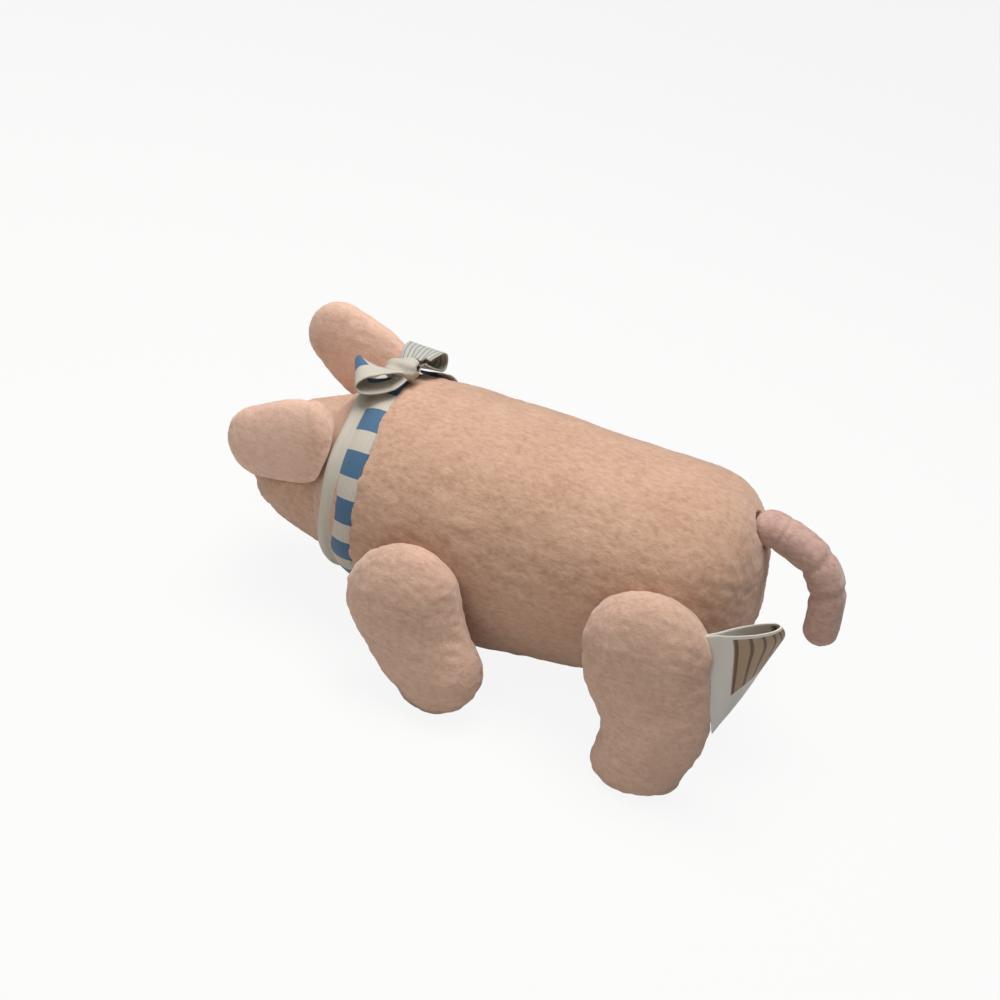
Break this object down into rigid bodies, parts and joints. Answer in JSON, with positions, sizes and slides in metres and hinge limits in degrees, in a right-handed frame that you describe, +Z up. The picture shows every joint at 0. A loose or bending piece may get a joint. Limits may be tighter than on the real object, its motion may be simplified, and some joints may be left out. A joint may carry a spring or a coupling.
{
  "type": "plush pig",
  "caption": "Stuffed plush pig standing on jointed legs, with floppy ears, an arched tail, a checked ribbon bow round its neck and a folded care label",
  "frame": {"origin": "on the floor under the middle of the bounding box", "axes": "+Z up, the pig faces -Y, its left side is +X"},
  "size_m": [0.0922, 0.1658, 0.0751],
  "materials": {
    "body_plush": "short mottled pile",
    "ear_plush": "short mottled pile",
    "tail_plush": "short mottled pile",
    "stuffing": "loose polyester fibre",
    "ribbon": "woven, checked",
    "label_tape": "woven tape",
    "black_plastic": "polished",
    "clear_plastic": "moulded",
    "dark_thread": "satin stitch",
    "pink_thread": "twisted thread"
  },
  "bodies": {
    "torso": {"body_cover_left": "body_plush", "body_cover_right": "body_plush", "body_stuffing": "stuffing", "hip_thread_rear_left": "pink_thread", "hip_thread_rear_right": "pink_thread", "hip_thread_front_left": "pink_thread", "hip_thread_front_right": "pink_thread"},
    "head": {"head_cover_left": "body_plush", "head_cover_right": "body_plush", "head_stuffing": "stuffing", "snout": "ear_plush", "nostril_left": "dark_thread", "nostril_right": "dark_thread", "eye_left": "black_plastic", "eye_right": "black_plastic", "eye_washer_left": "clear_plastic", "eye_washer_right": "clear_plastic", "ribbon_collar": "ribbon", "ribbon_knot": "ribbon", "ribbon_loop_left": "ribbon", "ribbon_loop_right": "ribbon", "ribbon_end_back": "ribbon", "ribbon_end_side": "ribbon"},
    "ear_left": {"ear_cover_left": "ear_plush", "ear_lining_left": "ear_plush", "ear_wadding_left": "stuffing"},
    "ear_right": {"ear_cover_right": "ear_plush", "ear_lining_right": "ear_plush", "ear_wadding_right": "stuffing"},
    "leg_rear_left": {"leg_outer_rear_left": "body_plush", "leg_inner_rear_left": "body_plush", "leg_stuffing_rear_left": "stuffing", "care_label": "label_tape"},
    "leg_rear_right": {"leg_outer_rear_right": "body_plush", "leg_inner_rear_right": "body_plush", "leg_stuffing_rear_right": "stuffing"},
    "leg_front_left": {"leg_outer_front_left": "body_plush", "leg_inner_front_left": "body_plush", "leg_stuffing_front_left": "stuffing"},
    "leg_front_right": {"leg_outer_front_right": "body_plush", "leg_inner_front_right": "body_plush", "leg_stuffing_front_right": "stuffing"},
    "tail": {"tail_cover_left": "tail_plush", "tail_cover_right": "tail_plush", "tail_stuffing": "stuffing"}
  },
  "joints": [
    {"name": "head_nod", "type": "hinge", "parent": "torso", "child": "head", "pos_m": [0, -0.03352, 0.03942], "axis": [1, 0, 0], "range_deg": [-8, 8]},
    {"name": "ear_left_swing", "type": "hinge", "parent": "head", "child": "ear_left", "pos_m": [0.0203, -0.05225, 0.05449], "axis": [0, -0.3616, 0.9323], "range_deg": [0, 30]},
    {"name": "ear_right_swing", "type": "hinge", "parent": "head", "child": "ear_right", "pos_m": [-0.0203, -0.05225, 0.05449], "axis": [0, -0.4194, -0.9078], "range_deg": [0, 30]},
    {"name": "hip_rear_left", "type": "hinge", "parent": "torso", "child": "leg_rear_left", "pos_m": [0.03339, 0.04122, 0.03759], "axis": [1, 0, 0], "range_deg": [-40, 40]},
    {"name": "hip_rear_right", "type": "hinge", "parent": "torso", "child": "leg_rear_right", "pos_m": [-0.03339, 0.04122, 0.03759], "axis": [1, 0, 0], "range_deg": [-40, 40]},
    {"name": "hip_front_left", "type": "hinge", "parent": "torso", "child": "leg_front_left", "pos_m": [0.03635, -0.02036, 0.02758], "axis": [1, 0, 0], "range_deg": [-40, 40]},
    {"name": "hip_front_right", "type": "hinge", "parent": "torso", "child": "leg_front_right", "pos_m": [-0.03635, -0.02036, 0.02758], "axis": [1, 0, 0], "range_deg": [-40, 40]},
    {"name": "tail_lift", "type": "hinge", "parent": "torso", "child": "tail", "pos_m": [0, 0.05812, 0.06403], "axis": [1, 0, 0], "range_deg": [-10, 30]}
  ]
}
